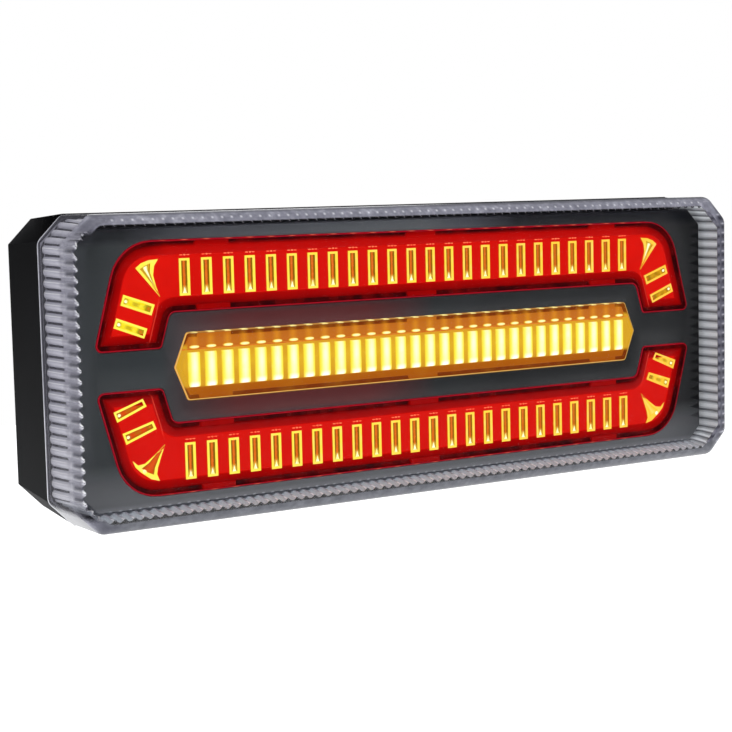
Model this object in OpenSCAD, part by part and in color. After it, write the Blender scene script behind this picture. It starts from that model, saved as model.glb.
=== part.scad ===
/* [Body] */
// Overall width across the clear cover
lamp_w = 236; // [180:1:300]
// Overall height across the clear cover
lamp_h = 85.5; // [60:0.5:140]
// Depth from the mounting face to the front of the cover
lamp_d = 52; // [40:1:80]
// Depth of the rear housing, up to the seam
housing_d = 28.8; // [20:0.1:40]
// Corner chamfer of the cover
chamfer = 7.6; // [3:0.1:15]

/* [Cover and bezel] */
// Wall of the clear cover
cover_t = 2.5; // [1.5:0.1:4]
// Distance from the cover's front to the bezel's front
bezel_back = 9.8; // [5:0.1:16]
// Thickness of the bezel plate
bezel_t = 1.8; // [1:0.1:3]

/* [Light slots] */
// Slots in each red row
slot_n = 24; // [10:1:30]
// Spacing of the red slots
slot_pitch = 6.93; // [5:0.01:9]
// Width of a red slot
slot_w = 3.4; // [2:0.1:5]
// Height of a red slot
slot_h = 10.5; // [6:0.1:14]
// Columns in the amber window
col_n = 30; // [10:1:36]
// Spacing of the amber columns
col_pitch = 5.36; // [4:0.01:8]
// Width of an amber column
col_w = 4.0; // [2:0.1:5]

/* [Mounting] */
// Distance between the two mounting studs
stud_gap = 152; // [100:1:200]
// Length of each stud beyond the mounting face
stud_out = 24; // [15:1:40]
// Radius of the bore that takes the harness plug
inlet_r = 10.5; // [8:0.1:14]

/* [Hidden] */
w2 = lamp_w/2;
h2 = lamp_h/2;
front = -lamp_d;
seam = -housing_d;
gasket_t = 0.6;
bz = front + bezel_back;       // front plane of the bezel
bzb = bz + bezel_t;            // back plane of the bezel plate
lensb = bzb + 1.2;             // back of the coloured lenses
guideb = lensb + 1.6;          // back of the light guides
trayb = guideb + 3.0;          // back of the reflector tray
boardf = trayb + 1.4;          // front of the circuit board
boardb = boardf + 1.6;         // back of the circuit board
inlet_z = -22;
stud_x = stud_gap/2;
$fn = 48;

function unit(v) = v/norm(v);
function v2(p) = [p[0], p[1]];
function fillet(p0, p1, p2, r, n) =
  let(a = unit(p0 - p1), b = unit(p2 - p1), ang = acos(a*b), c = p1 + unit(a + b)*r/sin(ang/2),
      s = p1 + a*r/tan(ang/2), e = p1 + b*r/tan(ang/2),
      a0 = atan2(s[1] - c[1], s[0] - c[0]), a1 = atan2(e[1] - c[1], e[0] - c[0]),
      d = (a1 - a0 + 540) % 360 - 180)
  [for (i = [0:n]) c + r*[cos(a0 + d*i/n), sin(a0 + d*i/n)]];
// rounded outline from corners given as [x, z, radius]
function outline(p, n = 5) = [for (i = [0:len(p) - 1])
  let(q = p[i], a = p[(i + len(p) - 1) % len(p)], b = p[(i + 1) % len(p)])
  each (q[2] <= 0.05 ? [v2(q)] : fillet(v2(a), v2(q), v2(b), q[2], n))];
// the same corners moved inwards by e
function inset(p, e) = [for (i = [0:len(p) - 1])
  let(q = v2(p[i]), d0 = unit(q - v2(p[(i + len(p) - 1) % len(p)])), d1 = unit(v2(p[(i + 1) % len(p)]) - q),
      n0 = [-d0[1], d0[0]], n1 = [-d1[1], d1[0]], m = (n0 + n1)/(1 + n0*n1),
      left = d0[0]*d1[1] - d0[1]*d1[0] > 0)
  [q[0] + e*m[0], q[1] + e*m[1], p[i][2] == 0 ? 0 : max(0, p[i][2] + (left ? -e : e))]];
function flip(p) = [for (i = [len(p) - 1:-1:0]) [p[i][0], -p[i][1], p[i][2]]];

c_upper = [[108.13, 5.41, 2], [99.95, 35.64, 13], [-99.95, 35.64, 13], [-108.13, 5.41, 2],
           [-87.72, 5.41, 1.5], [-84.74, 15.28, 2], [84.74, 15.28, 2], [87.72, 5.41, 1.5]];
c_lower = flip(c_upper);
hexa = [[84.1, 0, 0], [80.15, 9.64, 1.2], [-80.15, 9.64, 1.2], [-84.1, 0, 0], [-80.15, -9.64, 1.2], [80.15, -9.64, 1.2]];
up_z = 25.05;
low_z = -26.65;
col_z = -1.05;
col_h = 9.7;
up_corner = [
  [[87.6, 19.5, 0], [94.1, 27.8, 0], [91.3, 29.3, 0], [87.6, 29.8, 0]],
  [[98.5, 21.0, 0], [89.15, 17.8, 0], [90.25, 14.85, 0], [99.45, 18.1, 0]],
  [[100.85, 14.7, 0], [91.65, 11.3, 0], [92.7, 8.6, 0], [101.8, 12.0, 0]]];
low_corner = [
  [[88.3, -21.5, 0], [89.5, -31.5, 0], [93.9, -29.4, 0], [97.2, -25.8, 0]],
  [[92.95, -10.1, 0], [101.7, -13.95, 0], [102.7, -11.1, 0], [94.1, -7.9, 0]],
  [[90.35, -16.6, 0], [99.2, -20.3, 0], [100.25, -17.2, 0], [91.3, -14.25, 0]]];
up_spots = [[90.5, 27.2], [94.6, 18.0], [96.9, 11.7]];
low_spots = [[91.8, -27.2], [97.6, -10.9], [95.2, -17.1]];
posts = [[-98, 0], [98, 0], [-45, 14], [45, 14], [-45, -14], [45, -14]];

module slab(y0, y1) { translate([0, y1, 0]) rotate([90, 0, 0]) linear_extrude(y1 - y0) children(); }
module rod(x, z, y0, y1, r, n = 48) { translate([x, y1, z]) rotate([90, 0, 0]) cylinder(h = y1 - y0, r = r, $fn = n); }
module block(x, z, w, h, y0, y1) { translate([x - w/2, y0, z - h/2]) cube([w, y1 - y0, h]); }
module oct(hw, hh, c) { polygon([[hw, -hh + c], [hw, hh - c], [hw - c, hh], [-hw + c, hh], [-hw, hh - c], [-hw, -hh + c], [-hw + c, -hh], [hw - c, -hh]]); }
module row(n, pitch, z, w, h) { for (i = [0:n - 1]) translate([(i - (n - 1)/2)*pitch, z]) square([w, h], center = true); }
module corners(list, g) { for (p = list) { polygon([for (q = inset(p, -g)) v2(q)]); mirror([1, 0]) polygon([for (q = inset(p, -g)) v2(q)]); } }
module upper_slots(g) { row(slot_n, slot_pitch, up_z, slot_w + 2*g, slot_h + 2*g); corners(up_corner, g); }
module lower_slots(g) { row(slot_n, slot_pitch, low_z, slot_w + 2*g, slot_h + 2*g); corners(low_corner, g); }
module amber_slots(g) { row(col_n, col_pitch, col_z, col_w + 2*g, col_h + 2*g); }
module tabs(z0, z1) { for (x = [-71, 0, 71]) translate([x - 5.2, z0]) square([10.4, z1 - z0]); }

module rear_housing() {
  color("#1c1c1d") difference() {
    union() {
      difference() {
        hull() {
          slab(seam, seam + 0.01) oct(117.4, 43.4, 7.4);
          slab(-0.01, 0) oct(114.9, 41.95, 7.2);
        }
        slab(seam - 1, -3) oct(111.5, 38.6, 6);
      }
      for (p = posts) rod(p[0], p[1], boardb, -3, 4);
      for (s = [-1, 1]) rod(s*stud_x, 0, -10, -3, 8.5);
      rod(0, inlet_z, -11.8, -3, 15.6);
    }
    for (p = posts) rod(p[0], p[1], boardb - 1, -14, 1.45);
    for (s = [-1, 1]) { rod(s*stud_x, 0, -6.5, 1, 3.45); rod(s*stud_x, 0, -11, -6, 5.9, 6); }
    rod(0, inlet_z, -12.8, 1, 13.6);
    rod(34, 20, -4, 1, 5.1);
  }
}
module lens_gasket() { color("#101010") slab(seam - gasket_t, seam) difference() { oct(117.0, 42.4, 7.2); oct(115.6, 41.0, 6.6); } }
module outer_lens() {
  color([0.8, 0.82, 0.85, 0.35]) union() {
    slab(front, front + cover_t) oct(w2, h2, chamfer);
    slab(front + cover_t, seam - gasket_t) difference() { oct(w2, h2, chamfer); oct(w2 - cover_t, h2 - cover_t, chamfer - 1); }
  }
}
module bezel() {
  color("#3a3d40") union() {
    slab(bz, bzb) difference() { oct(112.85, 39.03, 5.3); polygon(outline(c_upper)); polygon(outline(c_lower)); polygon(outline(hexa)); }
    slab(bzb, seam) difference() { oct(112.85, 39.03, 5.3); oct(111.35, 37.53, 4.7); }
  }
}
module c_lens(c) {
  slab(bzb, lensb) difference() { polygon(outline(inset(c, -1.5))); children(); }
  slab(bz + 0.9, bzb) difference() { polygon(outline(inset(c, 0.15))); children(); }
  slab(bz + 0.2, bz + 0.9) difference() { polygon(outline(inset(c, 1.3))); children(); }
}
module red_lens_upper() {
  color("#c8140c") union() {
    c_lens(c_upper) upper_slots(0.1);
    slab(bz + 0.2, bz + 0.9) { tabs(34.0, 35.49); tabs(15.43, 16.9); }
  }
}
module red_lens_lower() {
  color("#c8140c") union() {
    c_lens(c_lower) lower_slots(0.1);
    slab(bz + 0.2, bz + 0.9) { tabs(-35.49, -34.0); tabs(-16.9, -15.43); }
  }
}
module amber_lens() {
  color("#e8a020") union() {
    c_lens(hexa) amber_slots(0.1);
    slab(bz + 0.2, bz + 0.9) { tabs(8.0, 9.49); tabs(-9.49, -8.0); }
  }
}
module light_guide_upper() { color("#ffc040") { slab(lensb, guideb) polygon(outline(inset(c_upper, 2))); slab(bz + 0.2, lensb) upper_slots(0); } }
module light_guide_lower() { color("#ffc040") { slab(lensb, guideb) polygon(outline(inset(c_lower, 2))); slab(bz + 0.2, lensb) lower_slots(0); } }
module light_guide_amber() { color("#ffe080") { slab(lensb, guideb) polygon(outline(inset(hexa, 1.2))); slab(bz + 0.2, lensb) amber_slots(0); } }
module reflector_tray() {
  color("#e8e8e4") union() {
    slab(guideb, trayb) difference() {
      oct(110.6, 36.8, 4.5);
      translate([0, up_z - 4.2]) square([166, 4.2], center = true);
      translate([0, low_z - 4.2]) square([166, 4.2], center = true);
      translate([0, col_z - 3.4]) square([162, 4.2], center = true);
      for (p = concat(up_spots, low_spots), s = [-1, 1]) translate([s*p[0], p[1]]) square([4.2, 4.2], center = true);
      for (p = posts) translate(p) circle(3.4);
    }
    for (x = [-103, 103], z = [-32, 32]) rod(x, z, trayb, boardf, 1.6);
  }
}
module circuit_board() { color("#1d5a34") slab(boardf, boardb) difference() { oct(106, 35.2, 4); for (p = posts) translate(p) circle(1.6); } }
module led(x, z) { block(x, z, 3, 2.8, boardf - 0.8, boardf); block(x, z, 2.2, 2, boardf - 1.1, boardf - 0.8); }
module red_leds_upper() { color("#ff5030") { for (i = [0:slot_n - 1]) led((i - (slot_n - 1)/2)*slot_pitch, up_z - 4.2); for (p = up_spots, s = [-1, 1]) led(s*p[0], p[1]); } }
module red_leds_lower() { color("#ff5030") { for (i = [0:slot_n - 1]) led((i - (slot_n - 1)/2)*slot_pitch, low_z - 4.2); for (p = low_spots, s = [-1, 1]) led(s*p[0], p[1]); } }
module amber_leds() { color("#ffc030") for (i = [0:col_n - 1]) led((i - (col_n - 1)/2)*col_pitch, col_z - 3.4); }
module driver_chips() { color("#202022") for (p = [[-70, 14], [70, 14], [0, 14]]) { block(p[0], p[1], 8, 5, boardb + 0.2, boardb + 1.8); for (i = [-1.5:1:1.5]) block(p[0] + i*1.6, p[1], 0.5, 7.4, boardb, boardb + 0.2); } }
module capacitors() { color("#c4c6c8") for (x = [-26, -14]) rod(x, 24, boardb, boardb + 9, 4); }
module inductors() { color("#4a4a4c") for (p = [[62, -16], [-62, -16]]) { block(p[0], p[1], 10, 10, boardb, boardb + 1); rod(p[0], p[1], boardb + 1, boardb + 5, 4.6); } }
module chip_resistors() { color("#2c2c30") for (i = [0:11]) block((i - 5.5)*14 + 4, -31, 3.2, 1.6, boardb, boardb + 0.6); }
module board_header() { color("#e6e2d6") difference() { block(30, inlet_z, 6, 17, boardb, boardb + 6); for (i = [-2:2]) rod(30, inlet_z + 3*i, boardb + 4, boardb + 7, 0.85); } }
module inner_wires() {
  color("#303034") for (i = [-2:2]) {
    rod(0, inlet_z + 3.4*i, -20.5, -17, 0.75);
    rod(30, inlet_z + 3*i, boardb + 4, -19.2, 0.75);
    let(a = atan2(-0.4*i, 30)) translate([0, -20, inlet_z + 3.4*i]) rotate([0, -a, 0]) translate([-0.9, 0, 0]) rotate([0, 90, 0]) cylinder(h = 31.8, r = 0.7, $fn = 24);
  }
}
module inlet_socket() {
  color("#242426") difference() {
    union() { rod(0, inlet_z, -16, -0.2, 13.4); rod(0, inlet_z, -16, -13.4, 15.4); }
    rod(0, inlet_z, -7.4, 1, inlet_r);
    rod(0, inlet_z, -13, -7, 9.4);
    for (i = [-2:2]) block(0, inlet_z + 3.4*i, 2.9, 0.9, -17, -12);
  }
}
module inlet_pins() { color("#c8a850") for (i = [-2:2]) block(0, inlet_z + 3.4*i, 2.8, 0.8, -17, -7.8); }
module inlet_seal() { color("#151515") difference() { rod(0, inlet_z, -13.4, -11.8, 15.4); rod(0, inlet_z, -14, -11, 13.6); } }
module vent_plug() { color("#2a2a2c") difference() { rod(34, 20, -3.6, -0.3, 5); rod(34, 20, -4, -1.4, 3.9); rod(34, 20, -2, 0, 1.2); } }
module vent_membrane() { color("#f0f0ee") rod(34, 20, -3.4, -3.1, 3.8); }
module stud(x) {
  color("#b8babc") {
    rod(x, 0, -10, -6, 5.77, 6);
    rod(x, 0, -6, 0, 3.4);
    rod(x, 0, 0, 3, 3.0);
    rod(x, 0, 3, stud_out - 1, 2.9);
    translate([x, stud_out - 1, 0]) rotate([-90, 0, 0]) cylinder(h = 1, r1 = 2.9, r2 = 2.2);
  }
}
module stud_left() { stud(-stud_x); }
module stud_right() { stud(stud_x); }
module washer(x) { color("#c2c4c6") difference() { rod(x, 0, 12, 13.6, 6.25); rod(x, 0, 11, 14, 3.2); } }
module nut(x) { color("#c2c4c6") difference() { rod(x, 0, 13.65, 18.65, 5.77, 6); rod(x, 0, 13, 19, 2.95); } }
module washer_left() { washer(-stud_x); }
module washer_right() { washer(stud_x); }
module nut_left() { nut(-stud_x); }
module nut_right() { nut(stud_x); }
module board_screws() { color("#b0b2b4") for (p = posts) { difference() { rod(p[0], p[1], boardf - 1.9, boardf, 2.8); block(p[0], p[1], 3.2, 0.6, boardf - 3, boardf - 1.1); block(p[0], p[1], 0.6, 3.2, boardf - 3, boardf - 1.1); } rod(p[0], p[1], boardf, -19, 1.4); } }

rear_housing();
outer_lens();
lens_gasket();
bezel();
red_lens_upper();
red_lens_lower();
amber_lens();
light_guide_upper();
light_guide_lower();
light_guide_amber();
reflector_tray();
circuit_board();
red_leds_upper();
red_leds_lower();
amber_leds();
driver_chips();
capacitors();
inductors();
chip_resistors();
board_header();
inner_wires();
inlet_socket();
inlet_pins();
inlet_seal();
vent_plug();
vent_membrane();
stud_left();
stud_right();
washer_left();
washer_right();
nut_left();
nut_right();
board_screws();
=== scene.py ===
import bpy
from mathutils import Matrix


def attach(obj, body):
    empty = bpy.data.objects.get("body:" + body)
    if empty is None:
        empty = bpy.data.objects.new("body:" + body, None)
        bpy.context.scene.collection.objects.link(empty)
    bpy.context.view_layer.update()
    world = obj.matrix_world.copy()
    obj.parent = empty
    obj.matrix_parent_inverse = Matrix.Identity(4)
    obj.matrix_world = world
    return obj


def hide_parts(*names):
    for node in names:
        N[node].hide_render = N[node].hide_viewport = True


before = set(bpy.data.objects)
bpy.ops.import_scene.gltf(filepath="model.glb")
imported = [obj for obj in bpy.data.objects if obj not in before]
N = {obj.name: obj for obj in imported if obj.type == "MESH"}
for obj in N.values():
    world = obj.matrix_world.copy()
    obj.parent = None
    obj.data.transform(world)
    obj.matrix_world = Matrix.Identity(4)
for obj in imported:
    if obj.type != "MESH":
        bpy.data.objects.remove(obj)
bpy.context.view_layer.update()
import math
import bpy
import bmesh
from mathutils import Matrix, Vector
from mathutils.geometry import delaunay_2d_cdt

MM = 0.001

# ---------------------------------------------------------------- levels and outlines, in mm
BZ = -42.2       # front plane of the bezel
SEAM = -28.8


def vsub(a, b): return (a[0] - b[0], a[1] - b[1])
def vlen(a): return math.hypot(a[0], a[1])
def vunit(a):
    l = vlen(a)
    return (a[0] / l, a[1] / l)


def fillet(p0, p1, p2, r, n):
    a, b = vunit(vsub(p0, p1)), vunit(vsub(p2, p1))
    ang = math.acos(max(-1, min(1, a[0] * b[0] + a[1] * b[1])))
    m = vunit((a[0] + b[0], a[1] + b[1]))
    c = (p1[0] + m[0] * r / math.sin(ang / 2), p1[1] + m[1] * r / math.sin(ang / 2))
    t = r / math.tan(ang / 2)
    s = (p1[0] + a[0] * t, p1[1] + a[1] * t)
    e = (p1[0] + b[0] * t, p1[1] + b[1] * t)
    a0 = math.atan2(s[1] - c[1], s[0] - c[0])
    a1 = math.atan2(e[1] - c[1], e[0] - c[0])
    d = (a1 - a0 + 3 * math.pi) % (2 * math.pi) - math.pi
    return [(c[0] + r * math.cos(a0 + d * i / n), c[1] + r * math.sin(a0 + d * i / n)) for i in range(n + 1)]


def inset(p, e):
    out = []
    k = len(p)
    for i in range(k):
        q = p[i][:2]
        d0, d1 = vunit(vsub(q, p[i - 1][:2])), vunit(vsub(p[(i + 1) % k][:2], q))
        n0, n1 = (-d0[1], d0[0]), (-d1[1], d1[0])
        f = 1 + n0[0] * n1[0] + n0[1] * n1[1]
        left = d0[0] * d1[1] - d0[1] * d1[0] > 0
        out.append((q[0] + e * (n0[0] + n1[0]) / f, q[1] + e * (n0[1] + n1[1]) / f, max(0.06, p[i][2] + (-e if left else e))))
    return out


def outline(p, n=6, stops=()):
    """The rounded outline; on level straight stretches points are put in at the x positions in stops."""
    k = len(p)
    arcs = [fillet(p[i - 1][:2], p[i][:2], p[(i + 1) % k][:2], max(0.05, p[i][2]), n) for i in range(k)]
    pts = []
    for i in range(k):
        pts += arcs[i]
        a, b = arcs[i][-1], arcs[(i + 1) % k][0]
        if stops and abs(a[1] - b[1]) < 1e-6 and abs(a[0] - b[0]) > 100:
            xs = sorted(stops, reverse=a[0] > b[0])
            pts += [(x, a[1]) for x in xs]
    return pts


def flip(p): return [(q[0], -q[1], q[2]) for q in reversed(p)]


C_UP = [(108.13, 5.41, 2), (99.95, 35.64, 13), (-99.95, 35.64, 13), (-108.13, 5.41, 2),
        (-87.72, 5.41, 1.5), (-84.74, 15.28, 2.2), (84.74, 15.28, 2.2), (87.72, 5.41, 1.5)]
C_LO = flip(C_UP)
HEXA = [(84.1, 0, 0.8), (80.15, 9.64, 1.2), (-80.15, 9.64, 1.2), (-84.1, 0, 0.8), (-80.15, -9.64, 1.2), (80.15, -9.64, 1.2)]
TABX = (-71.0, 0.0, 71.0)
STOPS = sorted(x + s * h for x in TABX for s in (-1, 1) for h in (5.15, 5.45))
SLOT_X = [(i - 11.5) * 6.93 for i in range(24)]
COL_X = [(i - 14.5) * 5.36 for i in range(30)]
UP_Z, LO_Z = 25.05, -26.65
UP_CORNER = [[(87.5, 19.9), (94.6, 28.05), (93.0, 29.3), (90.6, 30.1), (87.75, 30.3), (88.95, 28.5), (89.35, 25.9), (88.5, 22.6)],
             [(98.5, 21.0), (89.15, 17.8), (90.25, 14.85), (99.45, 18.1)],
             [(100.85, 14.7), (91.65, 11.3), (92.7, 8.6), (101.8, 12.0)]]
UP_POCKET = [(88.05, 21.4), (91.8, 26.0), (93.3, 27.8), (91.7, 28.7), (90.0, 29.3), (90.2, 26.9), (89.3, 24.0)]
LO_CORNER = [[(87.5, -21.3), (88.7, -24.35), (89.9, -27.6), (90.25, -29.5), (89.5, -31.35), (92.0, -30.65), (94.95, -28.55), (96.7, -26.9), (97.5, -25.1), (96.0, -26.4), (93.8, -26.1), (90.67, -23.95)],
             [(92.7, -10.2), (101.7, -13.95), (102.7, -11.1), (93.8, -7.95)],
             [(89.9, -16.75), (99.2, -20.3), (100.25, -17.2), (90.9, -14.4)]]
LO_POCKET = [(88.06, -22.55), (89.24, -24.4), (90.7, -27.55), (91.1, -29.5), (93.3, -28.5), (94.9, -27.3), (92.7, -26.0), (90.1, -23.5)]


def octa(hw, hh, c, r=0.0, n=4):
    p = [(hw, -hh + c), (hw, hh - c), (hw - c, hh), (-hw + c, hh), (-hw, hh - c), (-hw, -hh + c), (-hw + c, -hh), (hw - c, -hh)]
    if r <= 0:
        return p
    return outline([(q[0], q[1], r) for q in p], n)


def plate(hw, top, foot, c, cf, r=0.8, n=3):
    """Eight-sided outline with its own height above and below the middle."""
    p = [(hw, -foot + cf), (hw, top - c), (hw - c, top), (-hw + c, top), (-hw, top - c), (-hw, -foot + cf), (-hw + cf, -foot), (hw - cf, -foot)]
    return outline([(q[0], q[1], r) for q in p], n)


# ---------------------------------------------------------------- mesh building
def inside(c, poly):
    x, z = c
    odd = False
    a = poly[-1]
    for b in poly:
        if (a[1] > z) != (b[1] > z) and x < (b[0] - a[0]) * (z - a[1]) / (b[1] - a[1]) + a[0]:
            odd = not odd
        a = b
    return odd


class Build:
    """Collects loops of points (x, z) at a depth y, all in mm, with two numbers a and b kept on each point."""

    def __init__(self):
        self.bm = bmesh.new()
        self.a = self.bm.verts.layers.float.new("va")
        self.b = self.bm.verts.layers.float.new("vb")

    def loop(self, pts, y, a=0.0, b=0.0):
        out = []
        for i, p in enumerate(pts):
            yy = y[i] if isinstance(y, (list, tuple)) else y
            v = self.bm.verts.new((p[0], yy, p[1]))
            v[self.a] = a[i] if isinstance(a, (list, tuple)) else a
            v[self.b] = b[i] if isinstance(b, (list, tuple)) else b
            out.append(v)
        return out

    def skin(self, l0, l1, mat=0):
        k = len(l0)
        for i in range(k):
            f = self.bm.faces.new((l0[i], l0[(i + 1) % k], l1[(i + 1) % k], l1[i]))
            f.material_index = mat[i] if isinstance(mat, (list, tuple)) else mat

    def fill(self, loops, mat=0):
        """Fills between the first loop and the others, which are holes in it."""
        vs = [v for l in loops for v in l]
        edges, polys, k = [], [], 0
        for l in loops:
            edges += [(k + i, k + (i + 1) % len(l)) for i in range(len(l))]
            polys.append([(v.co.x, v.co.z) for v in l])
            k += len(l)
        got = delaunay_2d_cdt([Vector((v.co.x, v.co.z)) for v in vs], edges, [], 0, 1e-5)
        src = [vs[q[0]] if q else None for q in got[3]]
        for f in got[2]:
            tri = [src[i] for i in f]
            if None in tri:
                continue
            c = (sum(v.co.x for v in tri) / 3, sum(v.co.z for v in tri) / 3)
            if inside(c, polys[0]) and not any(inside(c, q) for q in polys[1:]):
                self.bm.faces.new(tri).material_index = mat

    def cap(self, l, mat=0):
        self.bm.faces.new(l).material_index = mat

    def done(self, name, mats, smooth=32, uvs=False):
        bmesh.ops.recalc_face_normals(self.bm, faces=self.bm.faces[:])
        bmesh.ops.scale(self.bm, vec=(MM, MM, MM), verts=self.bm.verts[:])
        me = bpy.data.meshes.new(name)
        self.bm.to_mesh(me)
        self.bm.free()
        for m in mats:
            me.materials.append(m)
        for p in me.polygons:
            p.use_smooth = True
        me.set_sharp_from_angle(angle=math.radians(smooth))
        ob = bpy.data.objects.new(name, me)
        bpy.context.scene.collection.objects.link(ob)
        return ob


# ---------------------------------------------------------------- materials
def lin(h):
    h = h.lstrip("#")
    out = []
    for i in (0, 2, 4):
        c = int(h[i:i + 2], 16) / 255
        out.append(c / 12.92 if c <= 0.04045 else ((c + 0.055) / 1.055) ** 2.4)
    return (out[0], out[1], out[2], 1.0)


class Mat:
    def __init__(self, name, rough=0.5, metal=0.0, spec=0.5, color=(0.5, 0.5, 0.5, 1), alpha=1.0, coat=0.0):
        self.m = bpy.data.materials.new(name)
        self.m.use_nodes = True
        self.t = self.m.node_tree
        self.p = self.t.nodes["Principled BSDF"]
        self.p.inputs["Roughness"].default_value = rough
        self.p.inputs["Metallic"].default_value = metal
        self.p.inputs["Specular IOR Level"].default_value = spec
        self.p.inputs["Base Color"].default_value = color
        self.p.inputs["Alpha"].default_value = alpha
        self.p.inputs["Coat Weight"].default_value = coat
        self._geo = None

    def n(self, kind, **kw):
        nd = self.t.nodes.new(kind)
        for k, v in kw.items():
            setattr(nd, k, v)
        return nd

    def link(self, a, b):
        self.t.links.new(a, b)

    def set(self, nd, idx, v):
        if hasattr(v, "is_output") or isinstance(v, bpy.types.NodeSocket):
            self.link(v, nd.inputs[idx])
        else:
            nd.inputs[idx].default_value = v

    def math(self, op, a, b=0.0, c=0.0, clamp=False):
        nd = self.n("ShaderNodeMath", operation=op, use_clamp=clamp)
        self.set(nd, 0, a)
        self.set(nd, 1, b)
        if op in ("MULTIPLY_ADD", "SMOOTH_MIN", "COMPARE", "WRAP"):
            self.set(nd, 2, c)
        return nd.outputs[0]

    def pos(self):
        """x, y, z in mm in the lamp's own frame, which every piece's mesh shares."""
        if self._geo is None:
            tc = self.n("ShaderNodeTexCoord")
            sp = self.n("ShaderNodeSeparateXYZ")
            self.link(tc.outputs["Object"], sp.inputs[0])
            self._geo = (tc, [self.math("MULTIPLY", sp.outputs[i], 1000.0) for i in range(3)])
        return self._geo[1]

    def attr(self, name):
        nd = self.n("ShaderNodeAttribute", attribute_name=name)
        return nd.outputs["Fac"]

    def noise(self, scale, detail=2.0, rough=0.5, stretch=None):
        self.pos()
        nd = self.n("ShaderNodeTexNoise")
        nd.inputs["Scale"].default_value = scale
        nd.inputs["Detail"].default_value = detail
        nd.inputs["Roughness"].default_value = rough
        src = self._geo[0].outputs["Object"]
        if stretch:
            mp = self.n("ShaderNodeMapping")
            mp.inputs["Scale"].default_value = stretch
            self.link(src, mp.inputs["Vector"])
            src = mp.outputs[0]
        self.link(src, nd.inputs["Vector"])
        return nd.outputs["Fac"]

    def ramp(self, fac, stops, mode="LINEAR"):
        nd = self.n("ShaderNodeValToRGB")
        nd.color_ramp.interpolation = mode
        el = nd.color_ramp.elements
        while len(el) > 1:
            el.remove(el[-1])
        el[0].position, el[0].color = stops[0][0], stops[0][1]
        for p, c in stops[1:]:
            e = el.new(p)
            e.color = c
        self.set(nd, 0, fac)
        return nd.outputs["Color"]

    def mix(self, fac, a, b, blend="MIX"):
        nd = self.n("ShaderNodeMix", data_type="RGBA", blend_type=blend)
        nd.clamp_factor = True
        self.set(nd, 0, fac)
        self.set(nd, 6, a)
        self.set(nd, 7, b)
        return nd.outputs[2]

    def band(self, v, lo, hi, soft=0.2):
        """1 where lo < v < hi, with soft ends."""
        a = self.math("DIVIDE", self.math("SUBTRACT", v, lo - soft), 2 * soft, clamp=True)
        b = self.math("DIVIDE", self.math("SUBTRACT", hi + soft, v), 2 * soft, clamp=True)
        return self.math("MULTIPLY", a, b)

    def step(self, v, lo, hi):
        return self.math("DIVIDE", self.math("SUBTRACT", v, lo), hi - lo, clamp=True)

    def bump(self, height, dist, strength=0.5):
        nd = self.n("ShaderNodeBump")
        nd.inputs["Strength"].default_value = strength
        nd.inputs["Distance"].default_value = dist
        self.link(height, nd.inputs["Height"])
        self.link(nd.outputs[0], self.p.inputs["Normal"])

    def base(self, c):
        self.link(c, self.p.inputs["Base Color"])

    def glow(self, c, strength=1.0):
        self.link(c, self.p.inputs["Emission Color"])
        self.p.inputs["Emission Strength"].default_value = strength


def mat_housing():
    k = Mat("housing_black", rough=0.62, spec=0.035)
    grain = k.noise(2600.0, 3.0, 0.6)
    cloud = k.noise(38.0, 3.0, 0.55)
    x, y, z = k.pos()
    # painted light: the black housing is made lighter towards its foot
    low = k.step(z, 30.0, -44.0)
    c = k.ramp(cloud, [(0.3, lin("#040405")), (0.7, lin("#08080a"))])
    c = k.mix(k.math("MULTIPLY", low, 0.5), c, lin("#1f2021"))
    k.base(c)
    k.bump(grain, 0.00008, 0.25)
    return k.m


def mat_front():
    k = Mat("cover_front", rough=0.05, spec=0.03, alpha=0.01)
    x, y, z = k.pos()
    c = k.ramp(k.noise(30.0, 2.0), [(0.35, lin("#4a4c54")), (0.7, lin("#5c5e66"))])
    # painted shade: the thick rim at the right end is painted grey, like the edge it runs into, with a dark painted
    # reflection of each flute
    n = k.noise(420.0, 2.0, 0.6)
    far = k.math("MAXIMUM", k.step(x, 111.8, 112.1), k.math("MULTIPLY", k.step(k.math("ADD", x, k.math("ABSOLUTE", z)), 144.7, 145.2), k.step(x, 102.0, 105.0)))
    far = k.math("MULTIPLY", far, k.step(y, -50.9, -51.4))
    f = k.math("FRACT", phase(k))
    rim = k.mix(k.math("MULTIPLY", k.band(f, 0.2, 0.6, 0.16), 0.8), k.ramp(n, [(0.3, lin("#5c5b68")), (0.7, lin("#85848f"))]), lin("#25242e"))
    c = k.mix(far, c, rim)
    k.base(c)
    k.link(k.mix(far, (0.01, 0.01, 0.01, 1), (0.98, 0.98, 0.98, 1)), k.p.inputs["Alpha"])
    return k.m


def phase(k):
    """Counts the flutes along the wall: whole numbers at the crests."""
    x, y, z = k.pos()
    ax = k.math("ABSOLUTE", x)
    side = k.step(ax, 107.0, 107.2)
    ps = k.math("DIVIDE", k.math("ADD", z, 34.85), 3.03)
    pt = k.math("DIVIDE", k.math("ADD", x, 109.5), 3.0)
    return k.math("ADD", k.math("MULTIPLY", ps, side), k.math("MULTIPLY", pt, k.math("SUBTRACT", 1.0, side)))


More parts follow.
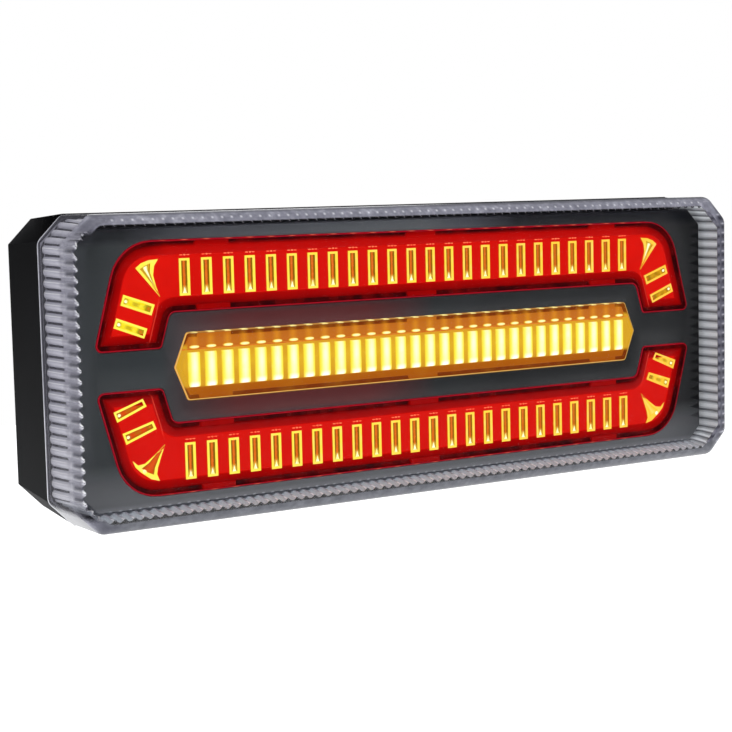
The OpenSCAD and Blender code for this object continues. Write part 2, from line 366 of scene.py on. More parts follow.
def mat_edge():
    """the rounded front edge of the cover, where the wall turns into the front plate; vb is 0..1 round the curve"""
    k = Mat("cover_edge", rough=0.2, spec=0.15)
    x, y, z = k.pos()
    t = k.attr("vb")
    n = k.noise(420.0, 2.0, 0.6)
    az = k.math("ABSOLUTE", z)
    c = k.ramp(n, [(0.3, lin("#787884")), (0.55, lin("#8e8e9a")), (0.8, lin("#b4b4c0"))])
    f = k.math("FRACT", phase(k))
    ax = k.math("ABSOLUTE", x)
    side = k.step(ax, 111.0, 113.0)
    level = k.math("SUBTRACT", 1.0, side)
    low = k.step(z, -34.0, -38.5)
    # grey foot, with painted shade along its lower line
    c = k.mix(k.math("MULTIPLY", k.math("MULTIPLY", low, level), 0.9), c, k.ramp(n, [(0.3, lin("#56585e")), (0.7, lin("#6c6e74"))]))
    c = k.mix(k.math("MULTIPLY", k.math("MULTIPLY", k.step(z, -41.6, -42.9), level), 0.75), c, lin("#33343a"))
    # painted shade as a thin dark line along the top, with faint painted highlight dots under it
    c = k.mix(k.math("MULTIPLY", k.step(z, 42.3, 43.0), 0.85), c, lin("#33343e"))
    dots = k.math("MULTIPLY", k.band(f, 0.3, 0.5, 0.08), k.band(z, 41.2, 41.7, 0.2))
    c = k.mix(k.math("MULTIPLY", dots, 0.7), c, lin("#f2f2f8"))
    # right-hand rim: painted shade, with a painted dark reflection and a painted highlight for each flute, and a
    # painted dark line at its outer edge
    right = k.step(x, 111.0, 113.0)
    c = k.mix(k.math("MULTIPLY", right, 0.85), c, k.ramp(n, [(0.3, lin("#4b4a57")), (0.7, lin("#6b6a77"))]))
    blob = k.math("MULTIPLY", k.band(f, 0.2, 0.6, 0.14), k.band(t, 0.55, 0.9, 0.12))
    c = k.mix(k.math("MULTIPLY", k.math("MULTIPLY", blob, right), 0.75), c, lin("#23222c"))
    c = k.mix(k.math("MULTIPLY", k.math("MULTIPLY", k.band(f, 0.72, 0.9, 0.06), k.band(t, 0.6, 0.85, 0.1)), k.math("MULTIPLY", right, 0.6)), c, lin("#d8d8e2"))
    c = k.mix(k.math("MULTIPLY", k.step(x, 116.9, 117.8), 0.6), c, lin("#3f3e4a"))
    # painted shade on the rounded corners at the left
    lc = k.math("MULTIPLY", k.step(x, -104.0, -109.0), k.step(az, 36.0, 38.0))
    c = k.mix(k.math("MULTIPLY", k.math("MULTIPLY", lc, k.band(t, 0.25, 0.75, 0.1)), 0.6), c, lin("#50505c"))
    k.base(c)
    left = k.math("MULTIPLY", k.step(x, -103.0, -112.0), k.step(az, 39.4, 37.6))
    open_left = k.ramp(t, [(0.0, (0.34, 0.34, 0.34, 1)), (0.16, (0.36, 0.36, 0.36, 1)), (0.34, (0.12, 0.12, 0.12, 1)), (0.5, (0.08, 0.08, 0.08, 1)), (0.8, (0.04, 0.04, 0.04, 1)), (1.0, (0.012, 0.012, 0.012, 1))])
    lim = k.math("ADD", 0.72, k.math("ADD", k.math("MULTIPLY", k.step(z, 10.0, -34.0), 0.04), k.math("MULTIPLY", right, 0.2)))
    corner = k.math("MULTIPLY", k.step(k.math("ADD", x, az), 145.0, 146.0), k.step(x, 102.0, 105.0))
    lim = k.math("ADD", lim, k.math("MULTIPLY", k.math("MAXIMUM", right, corner), 0.4))
    over = k.math("DIVIDE", k.math("SUBTRACT", k.math("ADD", lim, 0.05), t), 0.05, clamp=True)
    shut = k.mix(over, (0.02, 0.02, 0.02, 1), (0.99, 0.99, 0.99, 1))
    k.link(k.mix(left, shut, open_left), k.p.inputs["Alpha"])
    return k.m


def mat_skin():
    """outer surface of the clear wall"""
    k = Mat("cover_skin", rough=0.16, spec=0.3, alpha=0.17)
    n = k.noise(55.0, 3.0, 0.6)
    c = k.ramp(n, [(0.3, lin("#84838f")), (0.7, lin("#a2a1ad"))])
    x, y, z = k.pos()
    # painted shade: the skin is darker and more opaque towards the bottom
    under = k.step(z, -36.0, -38.6)
    c = k.mix(under, c, k.mix(k.step(z, -38.0, -42.8), lin("#64656c"), lin("#4c4d52")))
    k.base(c)
    k.link(k.mix(under, (0.17, 0.17, 0.17, 1), (0.95, 0.95, 0.95, 1)), k.p.inputs["Alpha"])
    k.bump(k.noise(900.0, 2.0), 0.00005, 0.2)
    return k.m


def mat_flute():
    """inner fluted surface of the clear wall; va runs 0..1 across one flute"""
    k = Mat("cover_flute", rough=0.24, spec=0.3, alpha=0.97)
    v = k.attr("va")
    x, y, z = k.pos()
    n = k.noise(160.0, 3.0, 0.6, stretch=(1.0, 0.25, 1.0))
    # painted light and shade across each flute, with a white painted highlight line
    c = k.ramp(v, [(0.0, lin("#9c9ba6")), (0.12, lin("#b3b2be")), (0.22, lin("#b9b8c4")), (0.3, lin("#ffffff")), (0.38, lin("#bebdc9")),
                   (0.6, lin("#c3c2cd")), (0.85, lin("#abaab5")), (1.0, lin("#9c9ba6"))])
    c = k.mix(k.math("MULTIPLY", k.step(y, -39.0, -40.2), 0.62), c, lin("#8f8e99"))
    foot = k.step(z, -34.5, -37.5)
    # painted light: paler towards the bottom, and pale blue-grey at the foot
    c = k.mix(k.math("MULTIPLY", k.step(z, -10.0, -38.0), 0.5), c, lin("#e6e6ea"))
    c = k.mix(k.math("MULTIPLY", foot, 0.45), c, lin("#bccdd6"))
    # painted shade in the rounded ends of the flutes next to the front plate
    blob = k.math("MULTIPLY", k.band(y, -47.7, -43.2, 0.7), k.band(v, 0.16, 0.7, 0.16))
    c = k.mix(k.math("MULTIPLY", k.math("MULTIPLY", blob, 0.92), k.math("SUBTRACT", 1.0, foot)), c, lin("#24232e"))
    # the far wall, seen from within: broad painted lit and shaded bands
    far = k.ramp(v, [(0.0, lin("#93969b")), (0.16, lin("#afb2b7")), (0.3, lin("#dce0e4")), (0.6, lin("#e2e6ea")), (0.78, lin("#b8bbc0")), (1.0, lin("#93969b"))])
    right = k.step(x, 104.0, 110.0)
    c = k.mix(right, c, far)
    c = k.mix(k.math("MULTIPLY", n, 0.22), c, lin("#8e8d99"))
    k.base(c)
    # painted light: the flutes glow faintly, most on the far wall, standing in for light let through the clear wall
    k.glow(k.mix(right, (0.03, 0.03, 0.034, 1), k.mix(0.76, c, (0, 0, 0, 1))), 1.0)
    return k.m


def mat_gap():
    """crests between the flutes: painted shade behind the bezel, pale in front of it, and a painted highlight near the
    front plate
    """
    k = Mat("cover_crest", rough=0.24, spec=0.2, alpha=1.0)
    x, y, z = k.pos()
    n = k.noise(300.0, 2.0)
    dark = k.ramp(n, [(0.3, lin("#0e0d16")), (0.7, lin("#1d1c27"))])
    c = k.mix(k.step(y, -38.9, -39.5), dark, lin("#a4a3ae"))
    c = k.mix(k.step(y, -30.2, -29.8), c, lin("#85848f"))
    c = k.mix(k.step(y, -45.6, -46.6), c, lin("#e6e6ee"))
    c = k.mix(k.step(x, 104.0, 110.0), c, lin("#84878c"))
    k.base(c)
    return k.m


def mat_lace():
    """edge where the flutes meet the front plate: painted highlights and painted shade across each flute"""
    k = Mat("cover_lace", rough=0.15, spec=0.5, alpha=0.92)
    v = k.attr("va")
    x, y, z = k.pos()
    side = k.ramp(v, [(0.0, lin("#f2f2f8")), (0.1, lin("#8a8a96")), (0.22, lin("#3f3f4a")), (0.52, lin("#4a4a55")), (0.7, lin("#d6d6de")), (0.86, lin("#ffffff")), (1.0, lin("#f2f2f8"))])
    top = k.ramp(v, [(0.0, lin("#0c0d14")), (0.26, lin("#12131b")), (0.36, lin("#dcdde6")), (0.62, lin("#f4f5fa")), (0.72, lin("#12131b")), (1.0, lin("#0c0d14"))])
    foot = k.ramp(v, [(0.0, lin("#ffffff")), (0.16, lin("#c9cad0")), (0.5, lin("#94959c")), (0.84, lin("#c9cad0")), (1.0, lin("#ffffff"))])
    lvl = k.step(k.math("ABSOLUTE", x), 114.0, 113.0)
    c = k.mix(k.math("MULTIPLY", lvl, k.step(z, 30.0, 36.0)), side, top)
    c = k.mix(k.math("MULTIPLY", lvl, k.step(z, -30.0, -36.0)), c, foot)
    c = k.mix(k.math("MULTIPLY", k.step(x, 112.0, 113.5), 0.8), c, lin("#5e5d6a"))
    k.base(c)
    return k.m


def mat_seat():
    """the foot of the clear wall, seen through it: pale, with the dark line of the seal near its outer edge"""
    k = Mat("cover_seat", rough=0.4, spec=0.1)
    x, y, z = k.pos()
    ax, az = k.math("ABSOLUTE", x), k.math("ABSOLUTE", z)
    d = k.math("MINIMUM", k.math("MINIMUM", k.math("SUBTRACT", 118.0, ax), k.math("SUBTRACT", 43.2, az)),
               k.math("MULTIPLY", k.math("SUBTRACT", 153.9, k.math("ADD", ax, az)), 0.7071))
    c = k.ramp(k.noise(260.0, 2.0), [(0.3, lin("#7d7c88")), (0.7, lin("#96959f"))])
    c = k.mix(k.step(z, 39.5, 41.5), c, lin("#2b2b33"))
    c = k.mix(k.band(d, 0.42, 0.95, 0.1), c, lin("#14131a"))
    k.base(c)
    return k.m


def mat_rim():
    k = Mat("cover_rim", rough=0.15, spec=0.6, alpha=1.0)
    # painted highlight: the clear lip at the seam is coloured pale grey, with painted shade along its top
    c = k.ramp(k.noise(200.0, 2.0), [(0.3, lin("#b9bac2")), (0.7, lin("#e6e7ee"))])
    x, y, z = k.pos()
    c = k.mix(k.step(z, 42.2, 43.0), c, lin("#3c3c45"))
    k.base(c)
    return k.m


def mat_gasket():
    k = Mat("seal_black", rough=0.7, spec=0.3)
    k.base(k.ramp(k.noise(220.0, 3.0), [(0.3, lin("#0c0c0d")), (0.7, lin("#191919"))]))
    k.bump(k.noise(1500.0, 2.0), 0.0001, 0.3)
    return k.m


def mat_bezel():
    k = Mat("bezel_grey", rough=0.3, spec=0.15)
    x, y, z = k.pos()
    cloud = k.noise(26.0, 2.0, 0.5)
    # painted shade: lighter over the left part of the bezel, darker towards the right
    c = k.mix(k.step(x, -75.0, 30.0), k.ramp(cloud, [(0.3, lin("#333739")), (0.7, lin("#3d4143"))]), k.ramp(cloud, [(0.3, lin("#262728")), (0.7, lin("#2e2f30"))]))
    # painted reflection: a red cast from the lit windows, next to them
    window_light_reflection = k.math("MULTIPLY", k.band(z, -15.0, 15.0, 1.2), k.band(x, -76.0, -8.0, 12.0))
    c = k.mix(k.math("MULTIPLY", window_light_reflection, 0.72), c, lin("#642423"))
    # painted light: paler towards the foot
    c = k.mix(k.step(z, -25.0, -36.6), c, lin("#76787b"))
    c = k.mix(k.step(z, -36.8, -38.2), c, lin("#96989c"))
    # painted reflection and painted shadow along the top: pale at the left and in the middle, dark at both ends
    top = k.step(z, 34.2, 36.4)
    along = k.math("DIVIDE", k.math("ADD", x, 112.0), 224.0)
    pale = k.ramp(along, [(0.0, lin("#1d1f23")), (0.06, lin("#1d1f23")), (0.16, lin("#4c4e54")), (0.3, lin("#54575c")), (0.5, lin("#5c6064")), (0.57, lin("#4a4c54")), (0.66, lin("#15161c")), (1.0, lin("#101118"))])
    c = k.mix(k.math("MULTIPLY", top, 0.95), c, pale)
    # painted reflections of the flutes: dark streaks along the right edge, one for each flute
    f = k.math("FRACT", phase(k))
    tri = k.math("SUBTRACT", 1.0, k.math("MULTIPLY", k.math("ABSOLUTE", k.math("SUBTRACT", f, 0.45)), 3.1))
    reach = k.math("MULTIPLY", k.step(x, 107.9, 112.6), 1.25)
    spike = k.math("MULTIPLY", k.math("SUBTRACT", k.math("ADD", tri, reach), 1.0), 2.2, clamp=True)
    spike = k.math("MULTIPLY", spike, k.math("MULTIPLY", k.step(x, 108.2, 109.2), k.band(z, -31.0, 34.0, 3.0)))
    c = k.mix(k.math("MULTIPLY", spike, 0.85), c, lin("#050507"))
    # painted highlights: pale dots near the foot, one for each flute
    dots = k.math("MULTIPLY", k.band(f, 0.35, 0.65, 0.08), k.band(z, -38.6, -38.05, 0.1))
    c = k.mix(k.math("MULTIPLY", k.math("MULTIPLY", dots, k.step(k.math("ABSOLUTE", x), 107.0, 105.0)), 0.8), c, lin("#d2d4da"))
    k.base(c)
    k.bump(k.noise(500.0, 2.0), 0.00002, 0.05)
    return k.m


def red_common(k):
    """va is the distance in mm from the window's edge"""
    e = k.math("DIVIDE", k.attr("va"), 6.0)
    x, y, z = k.pos()
    ax, az = k.math("ABSOLUTE", x), k.math("ABSOLUTE", z)
    n = k.noise(120.0, 3.0, 0.6)
    c = k.ramp(e, [(0.0, lin("#74081a")), (0.03, lin("#a81226")), (0.07, lin("#9a0e1e")), (0.1, lin("#2a0002")), (0.27, lin("#350001")), (0.33, lin("#6a0000")),
                   (0.45, lin("#8e0000")), (0.64, lin("#a60200")), (0.71, lin("#cf0c05")), (0.8, lin("#e0140a")), (1.0, lin("#e2150b"))])
    c = k.mix(k.math("MULTIPLY", k.step(n, 0.42, 0.75), 0.3), c, lin("#c00b05"))
    # the margin over the upper slots glows more than the rest
    over = k.math("MULTIPLY", k.step(ax, 92.0, 84.0), k.band(z, 30.6, 34.0, 0.6))
    c = k.mix(k.math("MULTIPLY", over, 0.5), c, lin("#d80d06"))
    # painted highlights: small bright dots on the long rims, one for each lamp
    f = k.math("FRACT", k.math("DIVIDE", k.math("ADD", x, 6.93 * 12), 6.93))
    dots = k.math("MULTIPLY", k.band(f, 0.4, 0.62, 0.08), k.band(az, 35.34, 35.5, 0.05))
    dots = k.math("MULTIPLY", dots, k.step(ax, 88.0, 84.0))
    c = k.mix(k.math("MULTIPLY", dots, 0.8), c, lin("#ff7a5c"))
    # painted highlight: a thin bright streak along the inner side of the arms
    sl = k.math("ADD", k.math("MULTIPLY", ax, 0.957), k.math("MULTIPLY", az, 0.289))
    line = k.math("MULTIPLY", k.band(sl, 89.3, 89.5, 0.16), k.band(az, 7.5, 18.6, 1.2))
    c = k.mix(k.math("MULTIPLY", line, 0.8), c, lin("#ff4a38"))
    return c


def mat_red():
    k = Mat("lens_red", rough=0.14, spec=0.035)
    c = red_common(k)
    k.glow(c, 0.97)
    k.base(k.mix(0.96, c, (0, 0, 0, 1)))
    k.bump(k.noise(420.0, 2.0), 0.00004, 0.15)
    return k.m


def mat_amber():
    """va is the distance in mm from the window's edge"""
    k = Mat("lens_amber", rough=0.14, spec=0.04)
    x, y, z = k.pos()
    e = k.math("DIVIDE", k.attr("va"), 6.0)
    n = k.noise(110.0, 3.0, 0.6)
    edge = k.ramp(e, [(0.0, lin("#e8a850")), (0.045, lin("#ffd070")), (0.075, lin("#7a340a")), (0.25, lin("#7a340a")), (0.31, lin("#b8661a")), (0.6, lin("#c9741c")), (1.0, lin("#cf7c1c"))])
    body = k.ramp(k.math("DIVIDE", k.math("ADD", z, 10.0), 20.0),
                  [(0.0, lin("#a4520d")), (0.19, lin("#b05e10")), (0.215, lin("#dda028")), (0.5, lin("#e8b42c")), (0.735, lin("#dfa028")), (0.755, lin("#c5661c")), (0.79, lin("#c66e1c")), (1.0, lin("#b8641a"))])
    c = k.mix(k.step(e, 0.28, 0.34), edge, body)
    c = k.mix(k.math("MULTIPLY", k.step(n, 0.45, 0.75), 0.3), c, lin("#c07c1e"))
    # light rising over each column, with a painted highlight dash on the rim and painted shade between the dashes along
    # the top rim
    f = k.math("FRACT", k.math("DIVIDE", k.math("ADD", x, 5.36 * 15), 5.36))
    mid = k.band(f, 0.36, 0.66, 0.16)
    row = k.step(k.math("ABSOLUTE", x), 80.0, 77.0)
    up = k.math("MULTIPLY", k.math("MULTIPLY", mid, row), k.band(z, 5.2, 8.6, 0.8))
    c = k.mix(k.math("MULTIPLY", up, 0.6), c, lin("#e89a22"))
    dash = k.math("MULTIPLY", k.math("MULTIPLY", k.band(f, 0.32, 0.7, 0.05), row), k.band(z, 9.2, 9.6, 0.06))
    c = k.mix(k.math("MULTIPLY", dash, 0.9), c, lin("#fff29a"))
    rimtop = k.math("MULTIPLY", k.math("SUBTRACT", 1.0, dash), k.math("MULTIPLY", k.step(z, 9.1, 9.2), k.step(k.math("ABSOLUTE", x), 80.0, 79.0)))
    c = k.mix(k.math("MULTIPLY", rimtop, 0.55), c, lin("#6a2c0a"))
    # plain amber in the end triangles right up to the rim
    tri = k.math("MULTIPLY", k.step(k.math("ABSOLUTE", x), 79.4, 80.2), k.math("MULTIPLY", k.step(e, 0.08, 0.1), k.step(k.math("ABSOLUTE", z), 6.4, 5.4)))
    c = k.mix(tri, c, lin("#dba528"))
    k.glow(c, 0.97)
    k.base(k.mix(0.96, c, (0, 0, 0, 1)))
    k.bump(k.noise(500.0, 2.0), 0.00004, 0.15)
    return k.m


def side_fade(k):
    """1 on the left of the lamp, 0 on the right"""
    x, y, z = k.pos()
    return k.step(x, 110.0, -110.0)


def mat_frame():
    k = Mat("guide_frame", rough=0.25, spec=0.08)
    f = side_fade(k)
    c = k.mix(f, lin("#ffc63e"), lin("#fff050"))
    c = k.mix(k.math("MULTIPLY", k.step(k.noise(380.0, 2.0), 0.45, 0.7), 0.35), c, lin("#ffe08a"))
    k.glow(c, 0.98)
    k.base(k.mix(0.8, c, (0, 0, 0, 1)))
    return k.m


def mat_pocket():
    """va is 0 at the middle of the slot and 1 at its edge, vb is 0..1 from its lamp end"""
    k = Mat("guide_pocket", rough=0.3, spec=0.05)
    u = k.attr("va")
    v = k.attr("vb")
    x, y, z = k.pos()
    wob = k.noise(900.0, 2.0, 0.6)
    u = k.math("ADD", u, k.math("MULTIPLY", k.math("SUBTRACT", wob, 0.5), 0.5))
    c = k.ramp(u, [(0.0, lin("#ee7a20")), (0.3, lin("#dd5e12")), (0.5, lin("#8c5a06")), (0.72, lin("#7a5c06")), (0.9, lin("#a9790c")), (1.0, lin("#c79a1a"))])
    c = k.mix(k.step(x, -30.0, 60.0), c, k.mix(0.45, c, lin("#c06414")))
    c = k.mix(k.math("MULTIPLY", k.step(v, 0.26, 0.12), k.step(u, 0.95, 0.5)), c, lin("#e8c040"))
    k.glow(c, 0.97)
    k.base(k.mix(0.96, c, (0, 0, 0, 1)))
    return k.m


def mat_bar():
    """cross bars of the corners: va is 0 in the middle and 1 at the edge, vb is 0..1 from the outer end"""
    k = Mat("guide_bar", rough=0.3, spec=0.05)
    u = k.attr("va")
    v = k.attr("vb")
    x, y, z = k.pos()
    wob = k.noise(700.0, 2.0, 0.6)
    yellow = k.ramp(wob, [(0.3, lin("#ffe000")), (0.65, lin("#fff03a"))])
    olive = k.ramp(wob, [(0.35, lin("#b07a0c")), (0.62, lin("#e0a41a"))])
    ember = k.ramp(u, [(0.0, lin("#e2500f")), (0.6, lin("#d2440c")), (1.0, lin("#b0700c"))])
    gold = k.ramp(wob, [(0.3, lin("#ffc01e")), (0.65, lin("#ffd84a"))])
    up = k.step(z, -1.0, 1.0)
    right = k.step(x, -1.0, 1.0)
    c = k.mix(up, k.mix(right, ember, gold), k.mix(right, yellow, olive))
    w2 = k.math("ADD", v, k.math("MULTIPLY", k.math("SUBTRACT", wob, 0.5), 0.16))
    ring = k.math("MULTIPLY", k.band(w2, 0.74, 0.98, 0.05), k.step(u, 1.0, 0.75))
    core = k.math("MULTIPLY", k.band(w2, 0.82, 0.9, 0.03), k.step(u, 0.55, 0.3))
    c = k.mix(k.math("MULTIPLY", ring, 0.8), c, lin("#8a6a04"))
    c = k.mix(k.math("MULTIPLY", core, 0.9), c, lin("#e07818"))
    mark = k.math("MULTIPLY", k.band(w2, 0.36, 0.56, 0.05), k.step(u, 0.7, 0.4))
    c = k.mix(k.math("MULTIPLY", mark, 0.55), c, lin("#a8760a"))
    near = k.math("MULTIPLY", k.band(w2, 0.0, 0.2, 0.04), k.step(u, 1.0, 0.8))
    c = k.mix(k.math("MULTIPLY", near, 0.6), c, lin("#a07c10"))
    k.glow(c, 0.97)
    k.base(k.mix(0.96, c, (0, 0, 0, 1)))
    return k.m


def mat_wedge():
    """corner wedges: va is 0 on the middle line and 1 at the edge of the pocket"""
    k = Mat("guide_wedge", rough=0.3, spec=0.05)
    u = k.attr("va")
    x, y, z = k.pos()
    wob = k.noise(700.0, 2.0, 0.6)
    u = k.math("ADD", u, k.math("MULTIPLY", k.math("SUBTRACT", wob, 0.5), 0.25))
    high = k.ramp(u, [(0.0, lin("#fffff0")), (0.22, lin("#ffffc0")), (0.36, lin("#ffe860")), (0.52, lin("#8a6a08")), (0.64, lin("#e8b01c")), (0.84, lin("#c88a10")), (1.0, lin("#8a6606"))])
    ember = k.ramp(u, [(0.0, lin("#e2581a")), (0.6, lin("#d4480e")), (0.85, lin("#a8600c")), (1.0, lin("#b88a14"))])
    gold = k.ramp(u, [(0.0, lin("#ffe06a")), (0.6, lin("#ffcc38")), (1.0, lin("#ffc42a"))])
    low = k.mix(k.step(x, -1.0, 1.0), ember, gold)
    c = k.mix(k.step(z, -1.0, 1.0), low, high)
    k.glow(c, 1.0)
    k.base(k.mix(0.96, c, (0, 0, 0, 1)))
    return k.m


def mat_spot():
    k = Mat("guide_spot", rough=0.3, spec=0.2)
    c = k.ramp(k.noise(900.0, 1.0), [(0.3, lin("#fff28a")), (0.6, lin("#ffffe0"))])
    k.glow(c, 1.0)
    k.base(k.mix(0.8, c, (0, 0, 0, 1)))
    return k.m


def mat_dash():
    # painted reflections: pink glow for the small beads over the red slots
    k = Mat("painted_dash_reflection", rough=0.3, spec=0.2)
    c = k.ramp(k.noise(700.0, 1.0), [(0.3, lin("#ff5030")), (0.6, lin("#ff8458"))])
    k.glow(c, 1.0)
    k.base(k.mix(0.8, c, (0, 0, 0, 1)))
    return k.m


def mat_side():
    k = Mat("guide_side", rough=0.3, spec=0.05)
    c = k.ramp(k.noise(500.0, 1.0), [(0.3, lin("#c8500c")), (0.7, lin("#dc7a14"))])
    k.glow(c, 0.95)
    k.base(k.mix(0.96, c, (0, 0, 0, 1)))
    return k.m


def mat_bead():
    """painted reflections of the lit columns, glowing beads over them: va is 0 in the middle, 1 at the rim"""
    k = Mat("guide_bead", rough=0.3, spec=0.05)
    c = k.ramp(k.attr("va"), [(0.0, lin("#ffffe0")), (0.35, lin("#fff9a0")), (0.7, lin("#ffe04a")), (1.0, lin("#e8a028"))])
    k.glow(c, 1.0)
    k.base(k.mix(0.96, c, (0, 0, 0, 1)))
    return k.m


def mat_column():
    """va is -1..1 across a column, vb is 0..1 from its lower end"""
    k = Mat("guide_amber", rough=0.2, spec=0.08)
    u = k.math("ABSOLUTE", k.attr("va"))
    v = k.attr("vb")
    edge = k.ramp(u, [(0.0, lin("#ffffc4")), (0.35, lin("#ffffa2")), (0.65, lin("#fff866")), (0.88, lin("#ffe93c")), (1.0, lin("#e6b824"))])
    hot = k.math("MULTIPLY", k.step(u, 0.9, 0.3), k.step(v, 0.17, 0.05))
    mid = k.math("MULTIPLY", k.step(u, 0.6, 0.1), k.band(v, 0.45, 0.8, 0.25))
    c = k.mix(hot, edge, (1.3, 1.28, 1.1, 1))
    c = k.mix(k.math("MULTIPLY", mid, 0.85), c, lin("#ffffec"))
    c = k.mix(k.math("MULTIPLY", k.step(k.noise(420.0, 2.0), 0.5, 0.75), 0.25), c, lin("#fff27a"))
    k.glow(c, 1.0)
    k.base(k.mix(0.96, c, (0, 0, 0, 1)))
    return k.m


def mat_plain(name, a, b, scale, rough, metal=0.0, spec=0.5, bump=0.0, bscale=900.0, coat=0.0, stretch=None):
    k = Mat(name, rough=rough, metal=metal, spec=spec, coat=coat)
    k.base(k.ramp(k.noise(scale, 3.0, 0.6, stretch), [(0.3, lin(a)), (0.7, lin(b))]))
    if bump:
        k.bump(k.noise(bscale, 2.0, 0.6, stretch), bump, 0.4)
    return k.m


M_HOUS, M_FRONT, M_EDGE, M_SKIN, M_FLUTE, M_GAP, M_RIM, M_LACE = mat_housing(), mat_front(), mat_edge(), mat_skin(), mat_flute(), mat_gap(), mat_rim(), mat_lace()
M_GASK, M_BEZ, M_RED, M_AMB = mat_gasket(), mat_bezel(), mat_red(), mat_amber()
M_FRAME, M_POCK, M_SPOT, M_DASH, M_COL = mat_frame(), mat_pocket(), mat_spot(), mat_dash(), mat_column()
M_BAR, M_WEDGE, M_BEAD, M_SIDE = mat_bar(), mat_wedge(), mat_bead(), mat_side()
M_ZINC = mat_plain("zinc_steel", "#a9abae", "#c9cbce", 90.0, 0.32, 1.0, 0.5, 0.00006, 700.0)
M_WHITE = mat_plain("tray_white", "#dededa", "#efefec", 30.0, 0.35)
M_PCB = mat_plain("board_green", "#123c22", "#1c5a33", 160.0, 0.4, bump=0.00005)
M_LEDR = mat_plain("led_red", "#ffb090", "#ffd0b8", 300.0, 0.3)
M_LEDA = mat_plain("led_amber", "#ffe090", "#fff0b8", 300.0, 0.3)
M_CHIP = mat_plain("chip_black", "#17171a", "#242428", 300.0, 0.55, bump=0.00004)
M_CAN = mat_plain("capacitor_can", "#b8babd", "#d3d5d8", 60.0, 0.28, 1.0)
M_IND = mat_plain("inductor_dark", "#2a2a2c", "#3c3c3f", 200.0, 0.6)
M_RES = mat_plain("resistor_dark", "#1c1c20", "#2a2a2e", 200.0, 0.5)
M_HEAD = mat_plain("header_cream", "#d4cebd", "#e6e1d2", 90.0, 0.45)
M_WIRE = mat_plain("wire_sheath", "#1a1a1d", "#2a2a2e", 120.0, 0.5)
M_INLET = mat_plain("inlet_black", "#161618", "#232326", 60.0, 0.5, spec=0.35, bump=0.00006, bscale=1600.0)
M_BRASS = mat_plain("pin_brass", "#c29a4a", "#d8b465", 120.0, 0.25, 1.0)
M_VENT = mat_plain("vent_black", "#1a1a1c", "#29292c", 60.0, 0.5, spec=0.35, bump=0.00006, bscale=1600.0)
M_MEMB = mat_plain("membrane_white", "#d8d8d4", "#efefec", 400.0, 0.8, bump=0.00008, bscale=2200.0)


def paint(node, mat):
    me = N[node].data
    me.materials.clear()
    me.materials.append(mat)


for node, mat in (("reflector_tray", M_WHITE), ("circuit_board", M_PCB), ("red_leds_upper", M_LEDR), ("red_leds_lower", M_LEDR),
                  ("amber_leds", M_LEDA), ("driver_chips", M_CHIP), ("capacitors", M_CAN), ("inductors", M_IND), ("chip_resistors", M_RES),
                  ("board_header", M_HEAD), ("inner_wires", M_WIRE), ("inlet_socket", M_INLET), ("inlet_pins", M_BRASS),
                  ("inlet_seal", M_GASK), ("vent_plug", M_VENT), ("vent_membrane", M_MEMB), ("stud_left", M_ZINC), ("stud_right", M_ZINC),
                  ("washer_left", M_ZINC), ("washer_right", M_ZINC), ("nut_left", M_ZINC), ("nut_right", M_ZINC), ("board_screws", M_ZINC)):
    paint(node, mat)


def place(ob, slot, *nodes, body="lamp"):
    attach(ob, body)
    if nodes:
        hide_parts(*nodes)
    return ob


# ---------------------------------------------------------------- rear housing: the CAD shell with its outer edges softened
def soften(node, name, mat, slot, width, segs, pick):
    bm = bmesh.new()
    bm.from_mesh(N[node].data)
    bmesh.ops.remove_doubles(bm, verts=bm.verts[:], dist=2e-6)
    bmesh.ops.dissolve_limit(bm, angle_limit=math.radians(1.0), verts=bm.verts[:], edges=bm.edges[:])
    ed = []
    for e in bm.edges:
        if len(e.link_faces) == 2 and e.calc_face_angle(0) > math.radians(18) and all(pick(v.co) for v in e.verts):
            ed.append(e)
    bmesh.ops.bevel(bm, geom=ed, offset=width, offset_type="OFFSET", segments=segs, profile=0.5, affect="EDGES", clamp_overlap=True)
    bmesh.ops.recalc_face_normals(bm, faces=bm.faces[:])
    me = bpy.data.meshes.new(name)
    bm.to_mesh(me)
    bm.free()
    me.materials.append(mat)
    for p in me.polygons:
        p.use_smooth = True
    me.set_sharp_from_angle(angle=math.radians(24))
    ob = bpy.data.objects.new(name, me)
    bpy.context.scene.collection.objects.link(ob)
    return place(ob, slot, node)


def on_shell(co):
    x, y, z = abs(co.x) * 1000, co.y * 1000, abs(co.z) * 1000
    return max(x - 114.0 + 0.0, z - 41.2, (x + z) - 148.5) > 0


soften("rear_housing", "housing_shell", M_HOUS, "housing_black", 0.0009, 3, on_shell)


# ---------------------------------------------------------------- gasket
def gasket():
    k = Build()
    n = 5
    o = [octa(117.2 - s, 42.45 - s, 7.2, 3.4, n) for s in (0.25, 0.0, 0.25)]
    i = octa(115.6, 41.0, 6.6, 3.0, n)
    a = [k.loop(o[0], -29.4), k.loop(o[1], -29.1), k.loop(o[2], -28.8)]
    b = [k.loop(i, -28.8), k.loop(i, -29.4)]
    k.skin(a[0], a[1]); k.skin(a[1], a[2]); k.skin(a[2], b[0]); k.skin(b[0], b[1]); k.skin(b[1], a[0])
    return place(k.done("gasket_ring", [M_GASK]), "seal_black", "lens_gasket")


gasket()


